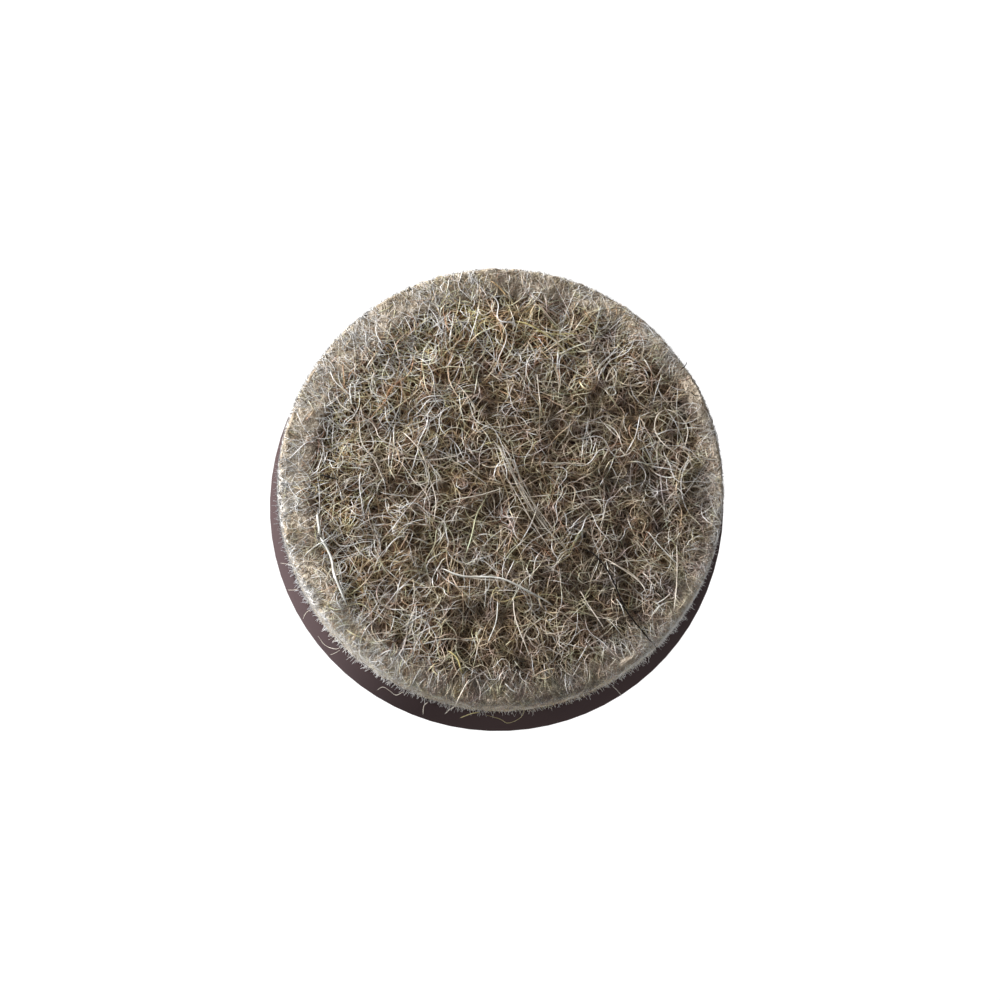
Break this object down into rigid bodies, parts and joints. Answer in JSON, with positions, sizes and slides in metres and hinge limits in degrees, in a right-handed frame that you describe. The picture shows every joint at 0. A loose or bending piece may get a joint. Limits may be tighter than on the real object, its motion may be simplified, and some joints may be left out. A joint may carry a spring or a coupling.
{
  "type": "felt furniture glide",
  "caption": "Round glide for the foot of a furniture leg: a moulded plastic shell, a thick felt pad glued into its recess and a wire nail through its middle.",
  "frame": {"origin": "middle of the seat plane, where the back of the shell lies against the leg", "axes": "+Z along the nail and the axis of the round shell, out of the felt; the nail points down -Z"},
  "size_m": [0.028, 0.028, 0.0243],
  "materials": {
    "brown_plastic": "satin moulded plastic, dark brown",
    "wool_felt": "needled wool and goat hair felt, beige and brown fibres mixed",
    "bright_steel": "bright drawn wire",
    "hot_melt": "amber hot-melt glue"
  },
  "bodies": {
    "root": {"shell": "brown_plastic", "felt_pad": "wool_felt", "nail": "bright_steel", "glue_film": "hot_melt"}
  },
  "joints": []
}
